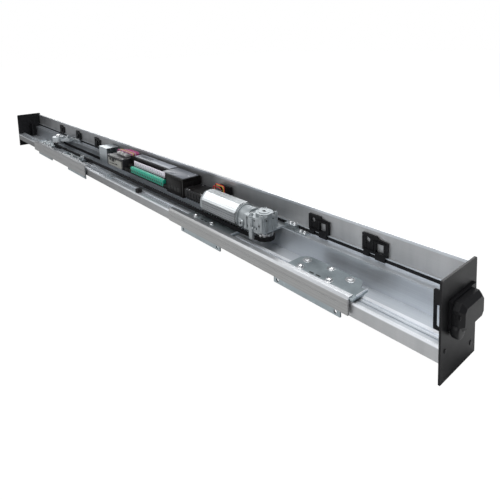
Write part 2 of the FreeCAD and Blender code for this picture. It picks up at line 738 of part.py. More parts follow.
def leaf(name, side, bar, tabs):
    def along(distance):
        return leaf_mirror + distance * side

    def span(near, far):
        return (along(near), along(far)) if side > 0 else (along(far), along(near))

    hanger_bar(f"{name}_hanger_bar", span, *bar)
    inner_tab, outer_tab, tab_length, tab_bottom = tabs
    carriages = {
        "inner": (inner_carriage, inner_stop, inner_tab),
        "outer": (outer_carriage, outer_stop, outer_tab),
    }
    for place_name, (centre, stop, tab) in carriages.items():
        label = f"{name}_{place_name}_carriage"
        carriage(label, along, span, centre, stop, tab, tab_length, tab_bottom)
        for count, way in ((1, -1), (2, 1)):
            label = f"{name}_{place_name}_roller_{count}"
            roller(label, along(centre + roller_spread * way))
    middles = [inner_carriage, outer_carriage]
    roller_axles(f"{name}_roller_axles", along, middles)
    carriage_bolts(f"{name}_carriage_bolts", along, middles)


def belt():
    """Toothed belt; it is smooth where it wraps, so that the pulleys can turn inside it."""
    body = new_body()
    place(body, 0, belt_line, belt_level)
    inside = pulley_radius + belt_gap
    sketch = draw(body, "XY_Plane", 0, [])
    draw_slot(sketch, idler_place, drive_place, inside + belt_back)
    draw_slot(sketch, idler_place, drive_place, inside)
    ring = body.newObject("PartDesign::Pad", "loop")
    ring.Profile = sketch
    bind(ring, "Length", belt_width)
    first = idler_place + 2 * tooth_pitch
    last = drive_place - 2 * tooth_pitch
    edge = -inside
    tooth = [
        (first - tooth_root / 2, edge - 0.5), (first + tooth_root / 2, edge - 0.5),
        (first + tooth_root / 2, edge), (first + tooth_tip / 2, edge + tooth_height),
        (first - tooth_tip / 2, edge + tooth_height), (first - tooth_root / 2, edge),
    ]
    single = pad(body, "XY_Plane", 0, belt_width, tooth)
    row = body.newObject("PartDesign::LinearPattern", "row")
    row.Originals = [single]
    row.Direction = (origin_plane(body, "X_Axis"), [""])
    reach = f"{text(last)} - {text(first)}"
    count = f"round(({reach}) / {tooth_pitch.text}) + 1"
    row.setExpression("Length", reach)
    row.setExpression("Occurrences", count)
    body.Tip = row
    doc.recompute()
    other = [(u, -v) for u, v in tooth]
    twin = pad(body, "XY_Plane", 0, belt_width, other)
    second = body.newObject("PartDesign::LinearPattern", "second_row")
    second.Originals = [twin]
    second.Direction = (origin_plane(body, "X_Axis"), [""])
    second.setExpression("Length", reach)
    second.setExpression("Occurrences", count)
    body.Tip = second
    Solid("drive_belt", body)


def pulley(label, x, counterbore):
    """Pulley of twelve teeth that stands taller than the belt."""
    body = new_body()
    place(body, x, belt_line, belt_level)
    pad(body, "XY_Plane", 0, pulley_height, {"u": 0, "v": 0, "radius": pulley_radius})
    depth = pulley_radius - tooth_height - 0.4
    space = [
        (-tooth_tip / 2, -depth), (tooth_tip / 2, -depth),
        (tooth_root / 2 + 0.4, -pulley_radius - 1), (-tooth_root / 2 - 0.4, -pulley_radius - 1),
    ]
    gap = pocket(body, "XY_Plane", 0, pulley_height, space)
    ring = body.newObject("PartDesign::PolarPattern", "spaces")
    ring.Originals = [gap]
    ring.Axis = (origin_plane(body, "Z_Axis"), [""])
    ring.Angle = 360
    ring.Occurrences = 12
    body.Tip = ring
    hole = {"u": 0, "v": 0, "radius": shaft_radius + shaft_gap}
    pocket(body, "XY_Plane", 0, pulley_height, hole)
    if counterbore:
        pocket(body, "XY_Plane", 0, 3, {"u": 0, "v": 0, "radius": 8})
    Solid(label, body)


gear_start = motor_start + motor_length + motor_flange
gear_end = gear_start + gearbox_length
waist = gear_start + 24
plate_top = ledge_height + bracket_thick


def octagon(radius, z_line):
    """Corners, in the YZ plane, of an octagon that lies flat on one side."""
    half = radius * math.tan(math.pi / 8)
    return [
        (belt_line - half, z_line - radius), (belt_line + half, z_line - radius),
        (belt_line + radius, z_line - half), (belt_line + radius, z_line + half),
        (belt_line + half, z_line + radius), (belt_line - half, z_line + radius),
        (belt_line - radius, z_line + half), (belt_line - radius, z_line - half),
    ]


def fluted(radius, z_line):
    """The octagon with shallow grooves along each of its flats."""
    corners = octagon(radius, z_line)
    outline = []
    for index, first in enumerate(corners):
        second = corners[(index + 1) % 8]
        outline.append(first)
        turn = -math.pi / 2 + index * math.pi / 4
        depth = (-math.cos(turn) * flute_depth, -math.sin(turn) * flute_depth)
        for share in FLUTES:
            for step, sunk in ((-0.035, 0), (-0.02, 1), (0.02, 1), (0.035, 0)):
                part_way = share + step
                u = first[0] + (second[0] - first[0]) * part_way + depth[0] * sunk
                v = first[1] + (second[1] - first[1]) * part_way + depth[1] * sunk
                outline.append((u, v))
    return outline


FLUTES = [0.14, 0.38, 0.62, 0.86]


def motor():
    body = new_body()
    end = motor_start + motor_length
    pad(body, "YZ_Plane", motor_start + 6, end, fluted(motor_radius, motor_level))
    Solid("motor_body", body)
    cap = new_body()
    pad(cap, "YZ_Plane", motor_start, motor_start + 6, octagon(motor_radius - 0.5, motor_level))
    soften(cap, "Chamfer", 3, X_AXIS, lambda middle: True)
    Solid("motor_rear_cap", cap)
    ring = rod("x", end, belt_line, motor_level, motor_radius - 0.2, motor_flange)
    Solid("motor_flange", ring)


def gearbox():
    """Cast right-angle gearbox: a round-cornered case with ribs, posts, a boss and a long foot."""
    body = new_body()
    front = belt_line - gearbox_width / 2
    back = belt_line + gearbox_width / 2
    case = [
        (waist, front + 1), (gear_end - 12, front + 1), (gear_end - 2, front + 11),
        (gear_end - 2, back - 11), (gear_end - 12, back - 1), (waist, back - 1),
    ]
    pad(body, "XY_Plane", plate_top, gearbox_top, case)
    neck = {"u": belt_line, "v": motor_level, "radius": motor_radius - 3}
    pad(body, "YZ_Plane", gear_start, waist + 4, neck)
    sole = [(gear_start, front + 12), (waist + 2, front + 3), (waist + 2, back - 3),
            (gear_start, back - 12)]
    pad(body, "XY_Plane", plate_top, motor_level, sole)
    foot_x = gear_start + 48
    foot = [
        (foot_x - 6, front + 5), (foot_x - 5, front - 2), (foot_x - 3, front - 3.5),
        (foot_x + 3, front - 3.5), (foot_x + 5, front - 2), (foot_x + 6, front + 5),
    ]
    pad(body, "XY_Plane", plate_top, gearbox_top - 3, foot)
    tongue = [
        (foot_x - 5, belt_line - 22.5), (foot_x - 5, front - 2), (foot_x - 3, front - 3.5),
        (foot_x + 3, front - 3.5), (foot_x + 5, front - 2), (foot_x + 5, belt_line - 22.5),
    ]
    pad(body, "XY_Plane", belt_level + 4, plate_top, tongue)
    for x in (gear_end - 6, gear_end - 36):
        for y in (front + 7, back - 7):
            pad(body, "XY_Plane", plate_top + 4, gearbox_top + 3, {"u": x, "v": y, "radius": 4.5})
    boss = {"u": gear_start + 13, "v": front + 5, "radius": 7}
    pad(body, "XY_Plane", plate_top + 2, plate_top + 16, boss)
    for x in (gear_end - 45, gear_end - 38):
        rib = [(x, front - 1), (x + 2, front - 1), (x + 2, front + 3), (x, front + 3)]
        pad(body, "XY_Plane", plate_top + 2, gearbox_top - 6, rib)
    for y in (belt_line - 8, belt_line + 6):
        rib = [(gear_end - 4, y), (gear_end, y), (gear_end, y + 2), (gear_end - 4, y + 2)]
        pad(body, "XY_Plane", plate_top + 2, gearbox_top - 6, rib)
    bore = {"u": drive_place, "v": belt_line, "radius": shaft_radius + shaft_gap}
    pocket(body, "XY_Plane", plate_top, gearbox_top - 6, bore)
    for x in (gear_end - 22, gear_end - 14):
        eye = {"u": x, "v": plate_top + 10, "radius": 1.8}
        pocket(body, "XZ_Plane", front - 1, front + 4, eye)
    Solid("gearbox_housing", body)
    cover = new_body()
    top = gearbox_top + cover_height
    lid = [
        (drive_place + cover_radius * math.cos(turn), belt_line + cover_radius * math.sin(turn))
        for turn in [math.pi / 8 + step * math.pi / 4 for step in range(8)]
    ]
    pad(cover, "XY_Plane", gearbox_top, top, lid)
    soften(cover, "Fillet", 5, Z_AXIS, lambda middle: True)
    rim = {"u": drive_place, "v": belt_line, "radius": cover_radius * 0.62}
    pad(cover, "XY_Plane", top, top + 1.2, rim)
    slot = [(drive_place - 6, belt_line - 1.2), (drive_place + 6, belt_line - 1.2),
            (drive_place + 6, belt_line + 1.2), (drive_place - 6, belt_line + 1.2)]
    pocket(cover, "XY_Plane", top - 1, top + 1.2, slot)
    Solid("gearbox_cover", cover)
    shaft_low = belt_level + 0.2
    shaft = rod("z", drive_place, belt_line, shaft_low, shaft_radius, gearbox_top - 6.5 - shaft_low)
    Solid("output_shaft", shaft)


def drive_bracket():
    body = new_body()
    start = waist + 4.4
    end = gear_end + bracket_tail
    outline = [
        (start, bracket_front), (gear_end - 4, bracket_front), (gear_end - 4, box_seat),
        (end, box_seat), (end, box_back), (start, box_back),
    ]
    pad(body, "XY_Plane", ledge_height, plate_top, outline)
    pocket(body, "XY_Plane", ledge_height, plate_top,
           {"u": drive_place, "v": belt_line, "radius": shaft_radius + 4})
    block = [(gear_end + 2, box_seat), (gear_end + 30, box_seat), (gear_end + 30, box_back),
             (gear_end + 2, box_back)]
    pad(body, "XY_Plane", plate_top, plate_top + 10, block)
    Solid("drive_bracket", body)
    screws = []
    for x, z in ((gear_end + 14, plate_top + 10), (gear_end + 24, plate_top + 10),
                 (gear_end + 42, plate_top), (gear_end + 52, plate_top)):
        screws.append(hex_screw(x, (box_back + box_seat) / 2, z))
    Solid("bracket_screws", group(*screws))


def hex_screw(x, y, z):
    """A small screw seen as its washer and its hexagon head."""
    washer = rod("z", x, y, z, 4.6, 0.8)
    head = hexagon(x, y, z + 0.8, 3.4, 2.4)
    return fuse(washer, head)


def idler():
    """The idler's casting: a round nose over the pulley, an arm to the ledge, a tension screw."""
    body = new_body()
    low = ledge_height
    top = ledge_height + idler_height
    nose = {"u": idler_place, "v": belt_line, "radius": idler_round}
    pad(body, "XY_Plane", low, top, nose)
    arm_end = idler_place + idler_arm
    arm = [
        (idler_place - idler_round + 2, belt_line), (idler_place + idler_round - 1, belt_line),
        (arm_end, box_seat - 14), (arm_end, box_back - 2.5),
        (idler_place - idler_round + 2, box_back - 2.5),
    ]
    pad(body, "XY_Plane", low, low + idler_height * 0.6, arm)
    hole = {"u": idler_place, "v": belt_line, "radius": shaft_radius + shaft_gap}
    pocket(body, "XY_Plane", low, top, hole)
    relief = [
        (idler_place - 6, belt_line + 16), (arm_end - 10, box_seat - 8),
        (arm_end - 10, box_back - 8), (idler_place - 6, box_back - 8),
    ]
    pocket(body, "XY_Plane", low + idler_height * 0.6 - 4, low + idler_height * 0.6, relief)
    Solid("idler_bracket", body)
    start = belt_level + 0.3
    pin = rod("z", idler_place, belt_line, start, shaft_radius, top - start)
    washer = rod("z", idler_place, belt_line, top, 11, 1.6)
    head = hexagon(idler_place, belt_line, top + 1.6, 8, 6)
    foot = rod("z", idler_place, belt_line, start, 7.5, 2.4)
    Solid("idler_axle", fuse(pin, washer, head, foot))
    block = box(arm_end + 12, arm_end + 12 + tension_length, box_seat, box_back - 2.5,
                ledge_height, ledge_height + 12)
    Solid("tension_block", block)
    middle = (box_seat + box_back - 2.5) / 2
    level = ledge_height + 6
    shank = rod("x", arm_end, middle, level, 2.5, 12)
    nut = rod("x", arm_end, middle, level, 4.5, 4)
    Solid("tension_screw", fuse(shank, nut))


def electronics():
    body = new_body()
    end = control_start + control_length
    shelf = control_front + 10
    wall = shelf + 13
    stepped = [
        (control_front, ledge_height), (box_back, ledge_height), (box_back, control_top),
        (wall, control_top), (wall, control_ledge), (shelf, control_ledge), (shelf, control_step),
        (control_front, control_step),
    ]
    pad(body, "YZ_Plane", control_start, end - control_block, stepped)
    full = [
        (control_front, control_skirt), (ledge_front - 0.5, control_skirt),
        (ledge_front - 0.5, ledge_height), (box_back, ledge_height), (box_back, control_top),
        (control_front, control_top),
    ]
    pad(body, "YZ_Plane", end - control_block, end, full)
    Solid("controller_housing", body)
    row = box(control_start + 30, end - control_block - 13, control_front, shelf,
              control_step, control_step + 12)
    Solid("terminal_strip", row)
    strip = box(control_start + 45, end - control_block - 28, wall - 3, wall,
                control_ledge, control_ledge + 16)
    Solid("label_strip", strip)
    lid_start = control_start + 20
    lid_end = end - control_block - 30
    lid_split = (lid_start + lid_end) / 2
    plates = [
        box(near, far, wall + 4, box_back - 1.5, control_top, control_top + 1.6)
        for near, far in ((lid_start, lid_split - 1.5), (lid_split + 1.5, lid_end))
    ]
    Solid("controller_lid", group(*plates))
    supply_end = supply_start + supply_length
    case = box(supply_start, supply_end, supply_front, box_back, ledge_height, supply_top)
    Solid("power_supply_box", case)
    front = box(supply_start + 8, supply_end - 8, supply_front - 1.5, supply_front,
                ledge_height + 1, supply_top - 8)
    Solid("power_supply_panel", front)
    sockets = [
        box(supply_start + 20 + 24 * i, supply_start + 38 + 24 * i, wall, wall + 22,
            supply_top, supply_top + 9)
        for i in range(3)
    ]
    Solid("supply_connectors", group(*sockets))
    bracket_end = supply_start - 42
    bracket_start = bracket_end - bracket_width
    hood = new_body()
    profile = [
        (bracket_front_face, belt_level + 0.7), (bracket_front_face + 2, belt_level + 0.7),
        (bracket_front_face + 2, bracket_roof - 2), (box_back - 2, bracket_roof - 2),
        (box_back - 2, ledge_height), (box_back, ledge_height), (box_back, bracket_roof),
        (bracket_front_face, bracket_roof),
    ]
    pad(hood, "YZ_Plane", bracket_start, bracket_end, profile)
    rim = [(box_seat, ledge_height), (box_back, ledge_height), (box_back, ledge_height + 2),
           (box_seat, ledge_height + 2)]
    pad(hood, "YZ_Plane", bracket_start, bracket_end, rim)
    cheek = [(bracket_front_face, ledge_height), (box_back, ledge_height),
             (box_back, bracket_roof), (bracket_front_face, bracket_roof)]
    pad(hood, "YZ_Plane", bracket_start, bracket_start + 2, cheek)
    Solid("supply_bracket", hood)
    filter_start = end + 3
    filter_end = filter_start + filter_length
    black_box = box(filter_start, filter_end, control_front + 2, box_back,
                    ledge_height, filter_top)
    Solid("line_filter", black_box)
    plate = box(filter_end + 2, filter_end + 45, box_back - 5, box_back,
                ledge_height, control_top - 2)
    Solid("wire_plate", plate)
    wires = []
    for i in range(8):
        rise = supply_start + 24 + 24 * (i // 3) + 4.6 * (i % 3)
        fall = control_start + 3 + 1.9 * i
        wires.append(wire_loop(rise, fall, wall + 1.8 + 2.5 * i, supply_top + 9, control_top,
                               control_top + 5 + 0.6 * i, 4, 1.1))
    Solid("supply_wires", group(*wires))
    leads = []
    for i in range(3):
        rise = filter_end - 18 + 5 * i
        fall = filter_end + 14 + 7 * i
        depth = box_seat + 1.4 + 2.6 * (i % 2)
        leads.append(wire_loop(rise, fall, depth, filter_top, ledge_height,
                               filter_top + 13 + 4 * i, 6, 1.2))
    Solid("motor_leads", group(*leads))


def draw_hoop(sketch, start, end, low, far_low, top, bend):
    """An open path: up, over and down again, with an arc tangent to the runs at each turn."""
    x0, x1, z0, z1, z2, r = [number(v) for v in (start, end, low, far_low, top, bend)]
    corners = [(x0, z0), (x0, z2 - r), (x0 + r, z2), (x1 - r, z2), (x1, z2 - r), (x1, z1)]
    points = [FreeCAD.Vector(u, v, 0) for u, v in corners]
    for index in (0, 2, 4):
        sketch.addGeometry(Part.LineSegment(points[index], points[index + 1]), False)
    normal = FreeCAD.Vector(0, 0, 1)
    left = Part.Circle(FreeCAD.Vector(x0 + r, z2 - r, 0), normal, r)
    right = Part.Circle(FreeCAD.Vector(x1 - r, z2 - r, 0), normal, r)
    sketch.addGeometry(Part.ArcOfCircle(left, math.pi / 2, math.pi), False)
    sketch.addGeometry(Part.ArcOfCircle(right, 0, math.pi / 2), False)
    for line, line_end, arc, arc_end in ((0, 2, 3, 2), (1, 1, 3, 1), (1, 2, 4, 2), (2, 1, 4, 1)):
        sketch.addConstraint(Sketcher.Constraint("Tangent", line, line_end, arc, arc_end))
    dimension(sketch, "DistanceX", 0, 1, start)
    dimension(sketch, "DistanceY", 0, 1, low)
    dimension(sketch, "DistanceX", 2, 2, end)
    dimension(sketch, "DistanceY", 2, 2, far_low)
    for arc, centre in ((3, start + bend), (4, end - bend)):
        dimension(sketch, "DistanceX", arc, 3, centre)
        dimension(sketch, "DistanceY", arc, 3, top - bend)


def wire_loop(start, end, y, low, far_low, top, bend, radius):
    """A wire swept along its hoop with a six-sided section."""
    body = new_body()
    path = draw(body, "XZ_Plane", -y, [])
    draw_hoop(path, start, end, low, far_low, top, bend)
    corners = []
    for step in range(6):
        turn = step * math.pi / 3
        corners.append((start + radius * math.cos(turn), y + radius * math.sin(turn)))
    section = draw(body, "XY_Plane", low, [corners])
    sweep = body.newObject("PartDesign::AdditivePipe", "wire")
    sweep.Profile = section
    sweep.Spine = path
    body.Tip = sweep
    return body


def stops():
    back = buffer_front + buffer_width
    rubber = box(buffer_place - buffer_length, buffer_place, buffer_front, back,
                 shelf_height, buffer_top)
    Solid("closing_buffer", rubber)
    left_end = leaf_mirror - left_bar_start + closing_travel + stop_gap
    upright = box(left_end, left_end + 4, buffer_front, back, shelf_height, buffer_top)
    foot = box(left_end, left_end + 23, buffer_front, back, shelf_height, shelf_height + 3)
    Solid("closing_stop", fuse(upright, foot))


header()
seal()
end_cap("right_end_cap", 1)
end_cap("left_end_cap", -1)
cap_brackets()
side_connector()
cover_clips()
leaf("right", 1, (right_bar_start, right_bar_length, right_bar_bottom),
     (right_inner_tab, right_outer_tab, right_tab_length, right_tab_bottom))
leaf("left", -1, (left_bar_start, left_bar_length, left_bar_bottom),
     (left_inner_tab, left_outer_tab, left_tab_length, left_tab_bottom))
belt_clamp("right_belt_clamp", leaf_mirror + right_clamp, 1, -8)
belt_clamp("left_belt_clamp", leaf_mirror - left_clamp, -1, -21)
belt()
pulley("drive_pulley", drive_place, False)
pulley("idler_pulley", idler_place, True)
motor()
gearbox()
drive_bracket()
idler()
electronics()
stops()
doc.recompute()
bad = [item.Label for item in doc.Objects if "Invalid" in item.State or "Error" in item.State]
for target in Solid.made:
    shape = target.Shape
    if shape.isNull() or not shape.isValid():
        bad.append(target.Label)
if bad:
    raise RuntimeError("not built: " + ", ".join(bad))
for target in Solid.made:
    target.Shape.exportStep(f"parts/{target.Label}.step")
print(len(Solid.made), "parts")
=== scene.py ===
import math

import bmesh
import bpy
from mathutils import Matrix, Vector


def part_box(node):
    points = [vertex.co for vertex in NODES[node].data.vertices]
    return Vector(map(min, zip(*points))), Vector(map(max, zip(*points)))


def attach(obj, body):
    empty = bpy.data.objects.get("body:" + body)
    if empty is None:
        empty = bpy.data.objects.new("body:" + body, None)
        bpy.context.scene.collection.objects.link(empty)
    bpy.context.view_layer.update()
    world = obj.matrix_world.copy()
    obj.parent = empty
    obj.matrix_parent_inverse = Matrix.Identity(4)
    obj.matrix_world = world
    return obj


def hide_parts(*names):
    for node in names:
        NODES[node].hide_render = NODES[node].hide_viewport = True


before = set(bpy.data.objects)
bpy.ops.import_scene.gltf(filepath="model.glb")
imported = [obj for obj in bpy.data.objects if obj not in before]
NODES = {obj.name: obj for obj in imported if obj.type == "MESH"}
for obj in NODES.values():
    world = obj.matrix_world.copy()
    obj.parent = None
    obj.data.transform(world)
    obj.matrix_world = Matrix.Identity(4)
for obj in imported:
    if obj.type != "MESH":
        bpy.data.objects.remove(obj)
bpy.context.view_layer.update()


class Value:
    """A shader socket that can be reckoned with like a number."""

    def __init__(self, paint, socket):
        self.paint = paint
        self.socket = socket

    def math(self, operation, other=0.0, clamp=False):
        node = self.paint.add("ShaderNodeMath")
        node.operation = operation
        node.use_clamp = clamp
        self.paint.join(self, node.inputs[0])
        self.paint.join(other, node.inputs[1])
        return Value(self.paint, node.outputs[0])

    def __add__(self, other):
        return self.math("ADD", other)

    def __sub__(self, other):
        return self.math("SUBTRACT", other)

    def __mul__(self, other):
        return self.math("MULTIPLY", other)

    def __truediv__(self, other):
        return self.math("DIVIDE", other)

    def __pow__(self, other):
        return self.math("POWER", other)

    def above(self, other):
        return self.math("GREATER_THAN", other)

    def clamp(self):
        return self.math("ADD", 0.0, clamp=True)

    def smooth(self, low, high):
        node = self.paint.add("ShaderNodeMapRange")
        node.interpolation_type = "SMOOTHSTEP"
        self.paint.join(self, node.inputs["Value"])
        node.inputs["From Min"].default_value = low
        node.inputs["From Max"].default_value = high
        return Value(self.paint, node.outputs["Result"])


class Paint:
    """A node material built around one Principled shader."""

    def __init__(self, name):
        self.material = bpy.data.materials.new(name)
        self.material.use_nodes = True
        self.tree = self.material.node_tree
        self.shader = self.tree.nodes["Principled BSDF"]
        self.place = None

    def add(self, kind):
        return self.tree.nodes.new(kind)

    def join(self, value, socket):
        if isinstance(value, Value):
            self.tree.links.new(value.socket, socket)
        elif isinstance(value, (tuple, list)):
            socket.default_value = (*value, 1.0) if len(value) == 3 else value
        else:
            socket.default_value = value

    def point(self):
        if self.place is None:
            node = self.add("ShaderNodeTexCoord")
            self.place = Value(self, node.outputs["Object"])
        return self.place

    def axis(self, name):
        node = self.add("ShaderNodeSeparateXYZ")
        self.join(self.point(), node.inputs[0])
        return Value(self, node.outputs[name])

    def noise(self, scale, stretch=(1, 1, 1), detail=3.0, rough=0.55):
        mapping = self.add("ShaderNodeMapping")
        mapping.inputs["Scale"].default_value = stretch
        self.join(self.point(), mapping.inputs["Vector"])
        node = self.add("ShaderNodeTexNoise")
        node.inputs["Scale"].default_value = scale
        node.inputs["Detail"].default_value = detail
        node.inputs["Roughness"].default_value = rough
        self.tree.links.new(mapping.outputs[0], node.inputs["Vector"])
        return Value(self, node.outputs["Fac"])

    def wave(self, scale, axis, distortion=0.0):
        node = self.add("ShaderNodeTexWave")
        node.bands_direction = axis
        node.inputs["Scale"].default_value = scale
        node.inputs["Distortion"].default_value = distortion
        self.join(self.point(), node.inputs["Vector"])
        return Value(self, node.outputs["Fac"])

    def mix(self, first, second, share):
        node = self.add("ShaderNodeMix")
        node.data_type = "RGBA"
        self.join(share, node.inputs["Factor"])
        self.join(first, node.inputs[6])
        self.join(second, node.inputs[7])
        return Value(self, node.outputs[2])

    def finish(self, color, roughness, metallic=0.0, height=None, depth=0.0002, strength=0.3,
               gloss=0.5):
        self.join(color, self.shader.inputs["Base Color"])
        self.join(roughness, self.shader.inputs["Roughness"])
        self.join(metallic, self.shader.inputs["Metallic"])
        self.shader.inputs["Specular IOR Level"].default_value = gloss
        if height is not None:
            bump = self.add("ShaderNodeBump")
            bump.inputs["Strength"].default_value = strength
            bump.inputs["Distance"].default_value = depth
            self.join(height, bump.inputs["Height"])
            self.tree.links.new(bump.outputs["Normal"], self.shader.inputs["Normal"])
        return self.material


def header_paint(name, light, dark, warm):
    """Anodised header: streaked, warm-tinted outer faces; painted shade on the outer faces and towards
    the far end; painted highlight on the lip corner and rib towards the near end.
    """
    paint = Paint(name)
    across = paint.axis("Y")
    wall = across.smooth(0.0450, 0.0475)
    height = paint.axis("Z")
    lip = height.smooth(0.0515, 0.0545)
    rib = height.smooth(0.0578, 0.0590) * (across.smooth(-0.024, -0.020) * -1.0 + 1.0)
    corner = lip * (across.smooth(-0.0505, -0.0485) * -1.0 + 1.0)
    front = (across.smooth(-0.0518, -0.0505) * -1.0 + 1.0) * (lip * -0.9 + 1.0)
    near = paint.axis("X").smooth(-0.5, 0.95)
    fine = paint.noise(1.0, (1.5, 900.0, 900.0), 2.0)
    slow = paint.noise(6.0, (0.4, 1.5, 1.5), 4.0)
    streak = paint.noise(26.0, (1.0, 0.1, 0.1), 4.0, 0.65)
    outside = (wall + front).clamp()
    tone = (fine * 0.5 + slow * 0.5 + (streak - 0.5) * (outside * 1.3 + 0.4)).clamp()
    color = paint.mix(dark, light, tone)
    color = paint.mix(color, warm, outside * 0.45)
    # Painted shade: darker on the front and wall faces and towards the far end.
    painted_shade = (near * -0.34 + 0.34) * (front * 1.1 + 0.5) + wall * 0.16 + front * 0.2
    color = paint.mix(color, (0.0, 0.0, 0.0), painted_shade.clamp())
    # Painted highlight: the lip corner and the rib turn near-white towards the near end.
    painted_highlight = ((corner + rib) * near * 0.85).clamp()
    color = paint.mix(color, (0.93, 0.95, 0.99), painted_highlight)
    rough = fine * 0.14 + slow * 0.1 + streak * 0.1 + outside * 0.06 + 0.18
    return paint.finish(color, rough, 0.78, height=fine, depth=0.00008, strength=0.2)


def bar_paint(name, light, dark, top):
    """Anodised bar with lengthwise draw lines, a painted highlight along the upper edge towards the
    near end and painted shade on the inner flange top, strongest towards the far end.
    """
    paint = Paint(name)
    height = paint.axis("Z")
    fine = paint.noise(1.0, (1.5, 800.0, 800.0), 2.0)
    slow = paint.noise(7.0, (0.5, 1.5, 1.5), 4.0)
    lines = paint.wave(62.0, "Z") ** 5.0
    near = paint.axis("X").smooth(0.50, 0.90) * 0.85 + 0.1
    # Painted highlight along the upper chamfer, strongest towards the near end.
    edge = height.smooth(top - 0.0046, top - 0.0034) * near
    # Painted shade on the inner flange top, strongest towards the far end.
    flange_painted_shade = height.smooth(top - 0.0012, top - 0.0004) * paint.axis("Y").smooth(-0.0568, -0.0552)
    tone = (fine * 0.5 + slow * 0.55 + edge * 0.5 - lines * 0.3 - 0.1).clamp()
    color = paint.mix(paint.mix(dark, light, tone), (0.90, 0.93, 0.97), edge * 0.6)
    color = paint.mix(color, (0.10, 0.11, 0.125), flange_painted_shade * (near * -0.7 + 0.75))
    rough = fine * 0.14 + slow * 0.1 + (edge * -0.12 + 0.28)
    return paint.finish(color, rough, 0.75, height=fine - lines * 0.6, depth=0.00012, strength=0.35)


def motor_paint(name, light, dark):
    """Bright drawn tube whose lower half lies in shade, with fine lengthwise flutes."""
    paint = Paint(name)
    flutes = paint.noise(1.0, (1.2, 420.0, 420.0), 2.0)
    patch = paint.noise(40.0, (0.3, 1.0, 1.0), 3.0)
    upper = paint.axis("Z").smooth(0.107, 0.119)
    tone = (flutes * 0.5 + patch * 0.2 + upper * 0.6 - 0.2).clamp()
    color = paint.mix(dark, light, tone)
    rough = flutes * 0.14 + patch * 0.08 + 0.2
    return paint.finish(color, rough, 0.92, height=flutes, depth=0.00008, strength=0.15)


def sheet_metal(name, light, dark, metallic=0.9, roughness=0.36, grain=260.0, ear=None):
    """Zinc-plated sheet: mottled tone, faint spangle, small scuffs, and a painted highlight on
    whatever stands above the ear level when one is given.
    """
    paint = Paint(name)
    mottle = paint.noise(grain, detail=4.0)
    cloud = paint.noise(28.0, detail=5.0, rough=0.65)
    scuff = paint.noise(90.0, (1.0, 5.0, 1.0), 6.0, 0.7).smooth(0.6, 0.68)
    tone = (mottle * 0.45 + cloud * 0.75 - 0.1).clamp()
    color = paint.mix(dark, light, tone)
    color = paint.mix(color, tuple(min(1, c * 1.2) for c in light), scuff * 0.4)
    if ear is not None:
        # Painted highlight: everything above the ear level turns near-white.
        painted_ear_highlight = paint.axis("Z").smooth(ear, ear + 0.0006)
        color = paint.mix(color, (0.86, 0.89, 0.93), painted_ear_highlight * 0.8)
    rough = cloud * 0.25 + mottle * 0.1 + (roughness - 0.17) + scuff * 0.08
    height = mottle + scuff * 0.5
    return paint.finish(color, rough, metallic, height=height, depth=0.00006, strength=0.3)


def cast_metal(name, light, dark, roughness=0.5):
    """Die-cast housing: grainy skin with slightly burnished high spots."""
    paint = Paint(name)
    grain = paint.noise(1400.0, detail=2.0)
    patch = paint.noise(60.0, detail=5.0)
    tone = (grain * 0.5 + patch * 0.8 - 0.15).clamp()
    color = paint.mix(dark, light, tone)
    rough = grain * 0.2 + patch * 0.15 + (roughness - 0.17)
    return paint.finish(color, rough, 0.75, height=grain, depth=0.00012, strength=0.45)


def machined(name, color, roughness=0.25):
    """Turned or drawn bright metal."""
    paint = Paint(name)
    rings = paint.noise(1.0, (300.0, 300.0, 2600.0), 2.0)
    patch = paint.noise(140.0, detail=3.0)
    tone = (rings * 0.5 + patch * 0.5).clamp()
    shade = paint.mix(tuple(c * 0.72 for c in color), color, tone)
    rough = rings * 0.18 + (roughness - 0.06)
    return paint.finish(shade, rough, 1.0, height=rings, depth=0.00004, strength=0.25)


def plastic(name, color, roughness=0.42, grain=1800.0, gloss=0.5, drift=0.25):
    """Moulded plastic with an eroded texture and a faint change of tone."""
    paint = Paint(name)
    pits = paint.noise(grain, detail=2.0)
    patch = paint.noise(24.0, detail=4.0)
    shade = paint.mix(tuple(c * (1 - drift) for c in color), color, (patch * 1.3 - 0.15).clamp())
    rough = pits * 0.14 + patch * 0.12 + (roughness - 0.13)
    return paint.finish(shade, rough, height=pits, depth=0.00008, strength=0.35, gloss=gloss)


def rubber(name, color, roughness=0.62):
    """Matt rubber with a little dust."""
    paint = Paint(name)
    fine = paint.noise(2600.0, detail=2.0)
    dust = paint.noise(38.0, (1.0, 2.0, 2.0), 5.0, 0.7)
    shade = paint.mix(color, tuple(c + 0.012 for c in color), (dust * 1.4 - 0.35).clamp())
    rough = fine * 0.15 + dust * 0.15 + (roughness - 0.15)
    return paint.finish(shade, rough, height=fine, depth=0.0001, strength=0.3, gloss=0.1)


def painted(name, color, roughness=0.4):
    """Painted sheet with a faint orange peel."""
    paint = Paint(name)
    peel = paint.noise(700.0, detail=2.0)
    patch = paint.noise(18.0, detail=4.0)
    shade = paint.mix(tuple(c * 0.8 for c in color), color, (patch * 1.2 - 0.1).clamp())
    rough = peel * 0.12 + patch * 0.1 + (roughness - 0.1)
    return paint.finish(shade, rough, 0.1, height=peel, depth=0.0001, strength=0.25)


def banded(name, bands, axis, edges, roughness=0.4):
    """Wires of several colours that share one node, told apart by where they lie."""
    paint = Paint(name)
    at = paint.axis(axis)
    color = bands[0]
    for edge, band in zip(edges, bands[1:]):
        color = paint.mix(color, band, at.above(edge))
    fine = paint.noise(900.0, detail=2.0)
    shade = paint.mix(color, (0.02, 0.02, 0.02), fine * 0.18)
    rough = fine * 0.15 + (roughness - 0.07)
    return paint.finish(shade, rough, height=fine, depth=0.00005, strength=0.2)


